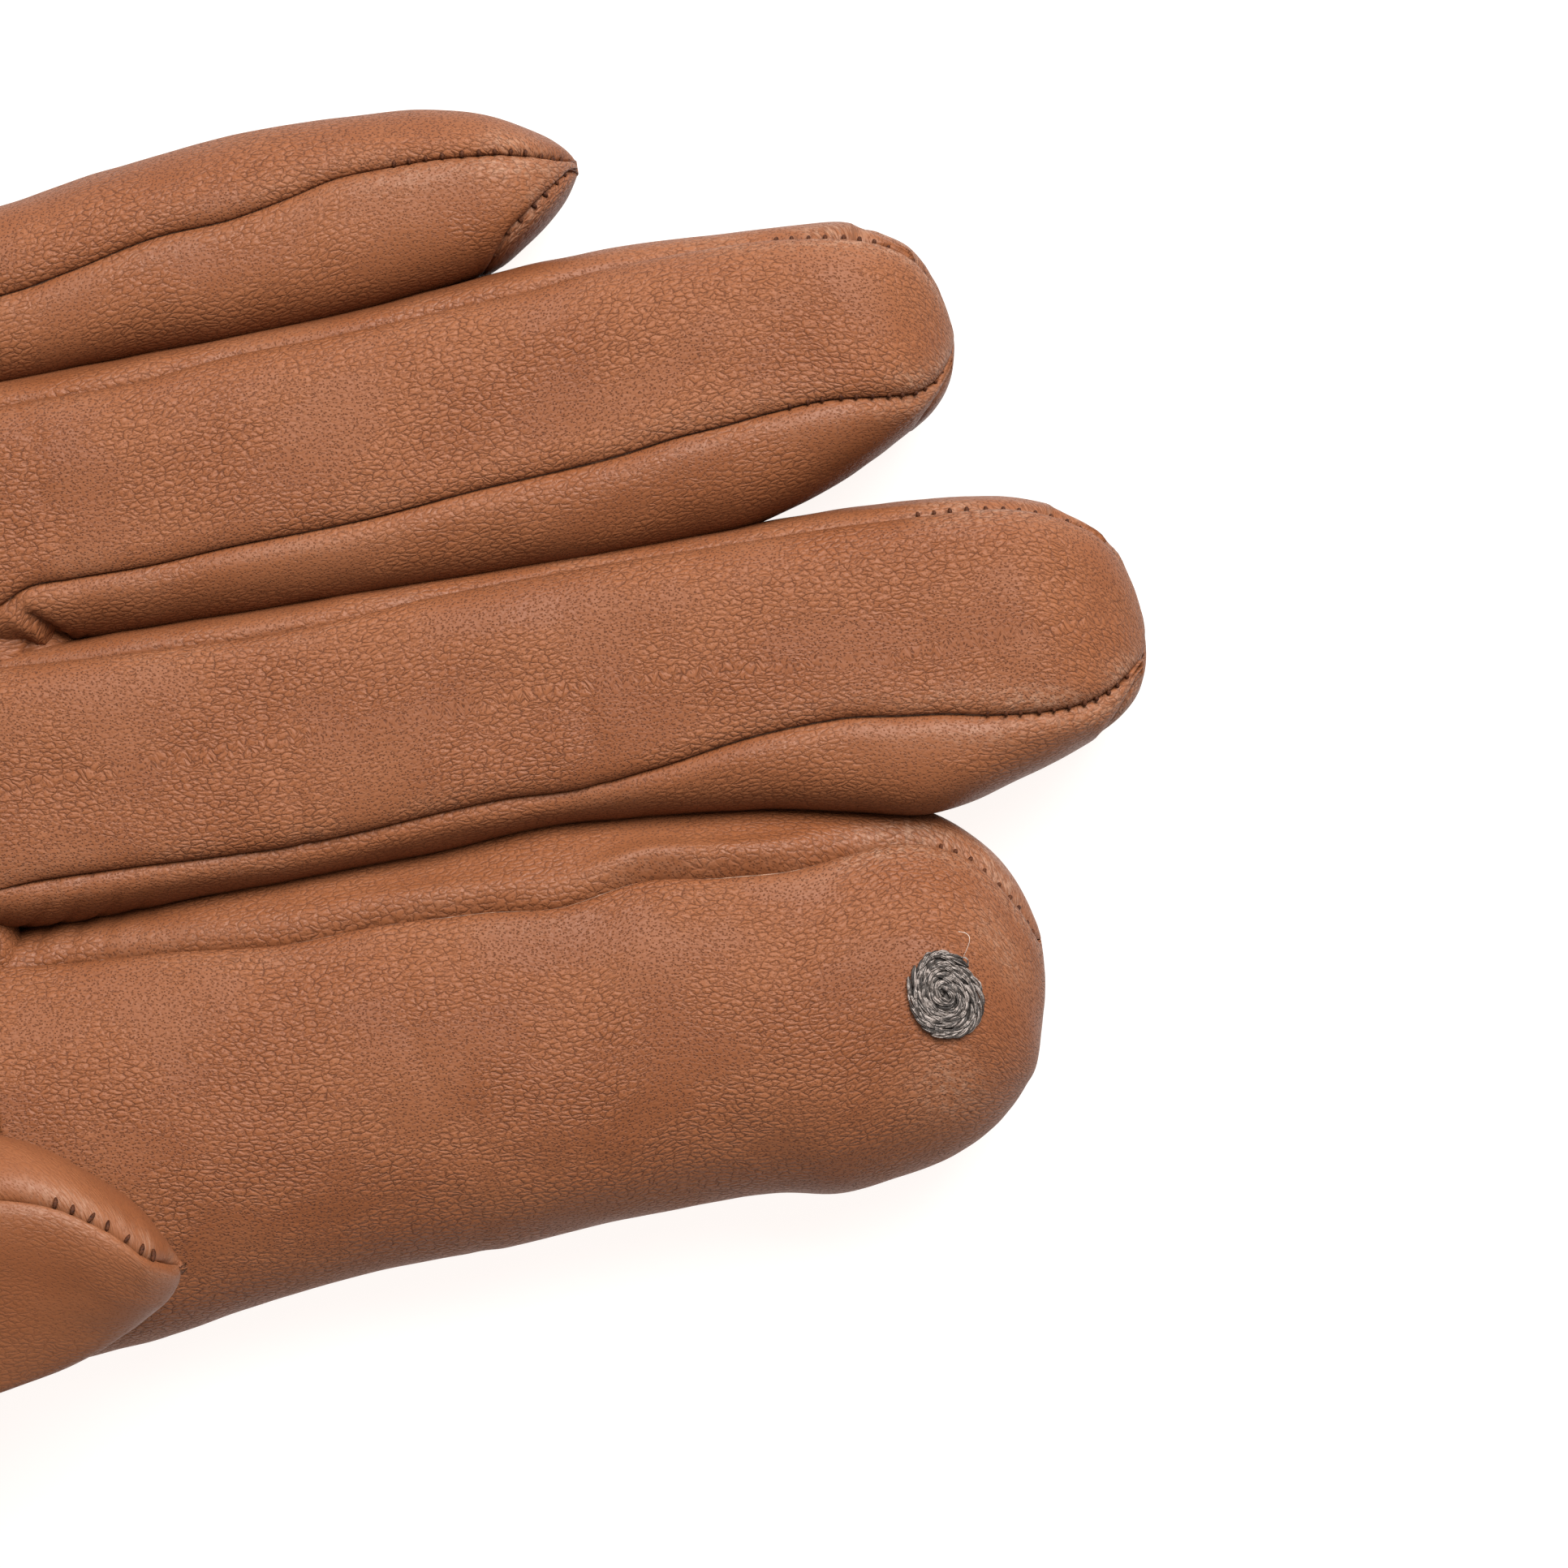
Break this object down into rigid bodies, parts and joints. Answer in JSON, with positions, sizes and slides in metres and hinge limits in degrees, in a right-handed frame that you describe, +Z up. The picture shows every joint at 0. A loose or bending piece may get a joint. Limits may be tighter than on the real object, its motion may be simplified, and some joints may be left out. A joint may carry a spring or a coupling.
{
  "type": "touchscreen glove",
  "caption": "Tan leather dress glove for the right hand, knit lined, with a conductive stitched touch patch on the index fingertip; its fingers bend and its thumb lifts.",
  "frame": {"origin": "on the surface that the glove lies on, below the middle of its outline", "axes": "+X from the cuff to the fingertips, +Y to the little finger, +Z up out of the palm"},
  "size_m": [0.2504, 0.0987, 0.0405],
  "materials": {
    "tan_leather": "semi-matt lambskin with a fine grain",
    "knit_lining": "brushed wool and cashmere knit",
    "sewing_thread": "waxed sewing thread",
    "conductive_yarn": "grey metallised yarn",
    "elastic_tape": "woven elastic tape"
  },
  "bodies": {
    "hand": {"palm_panel": "tan_leather", "back_panel": "tan_leather", "hand_lining": "knit_lining", "cuff_hem": "tan_leather", "cuff_stitches": "sewing_thread", "wrist_elastic": "elastic_tape", "back_points": "tan_leather", "quirk_index_middle": "tan_leather", "quirk_middle_ring": "tan_leather", "quirk_ring_little": "tan_leather", "index_root_trank": "tan_leather", "index_root_fork": "tan_leather", "middle_root_palm": "tan_leather", "middle_root_fork_index_side": "tan_leather", "middle_root_back": "tan_leather", "middle_root_fork_ring_side": "tan_leather", "ring_root_palm": "tan_leather", "ring_root_fork_middle_side": "tan_leather", "ring_root_back": "tan_leather", "ring_root_fork_little_side": "tan_leather", "little_root_palm": "tan_leather", "little_root_fork": "tan_leather", "little_root_back": "tan_leather", "thumb_root": "tan_leather", "thumb_root_lining": "knit_lining"},
    "index_end": {"index_trank": "tan_leather", "index_fork": "tan_leather", "index_lining": "knit_lining", "touch_dot": "conductive_yarn", "touch_backing": "conductive_yarn"},
    "middle_end": {"middle_palm": "tan_leather", "middle_fork_index_side": "tan_leather", "middle_back": "tan_leather", "middle_fork_ring_side": "tan_leather", "middle_lining": "knit_lining"},
    "ring_end": {"ring_palm": "tan_leather", "ring_fork_middle_side": "tan_leather", "ring_back": "tan_leather", "ring_fork_little_side": "tan_leather", "ring_lining": "knit_lining"},
    "little_end": {"little_palm": "tan_leather", "little_fork": "tan_leather", "little_back": "tan_leather", "little_lining": "knit_lining"},
    "thumb_end": {"thumb_outer": "tan_leather", "thumb_inner": "tan_leather", "thumb_lining": "knit_lining"}
  },
  "joints": [
    {"name": "index_bend", "type": "hinge", "parent": "hand", "child": "index_end", "pos_m": [0.058, -0.02972, 0.0099], "axis": [0, -1, 0], "range_deg": [0, 85]},
    {"name": "middle_bend", "type": "hinge", "parent": "hand", "child": "middle_end", "pos_m": [0.062, -0.0008, 0.0096], "axis": [0, -1, 0], "range_deg": [0, 85]},
    {"name": "ring_bend", "type": "hinge", "parent": "hand", "child": "ring_end", "pos_m": [0.058, 0.02207, 0.0094], "axis": [0, -1, 0], "range_deg": [0, 85]},
    {"name": "little_bend", "type": "hinge", "parent": "hand", "child": "little_end", "pos_m": [0.044, 0.04068, 0.00815], "axis": [0, -1, 0], "range_deg": [0, 85]},
    {"name": "thumb_lift", "type": "hinge", "parent": "hand", "child": "thumb_end", "pos_m": [0.002, -0.03658, 0.03169], "axis": [0, -1, 0], "range_deg": [0, 45]}
  ]
}
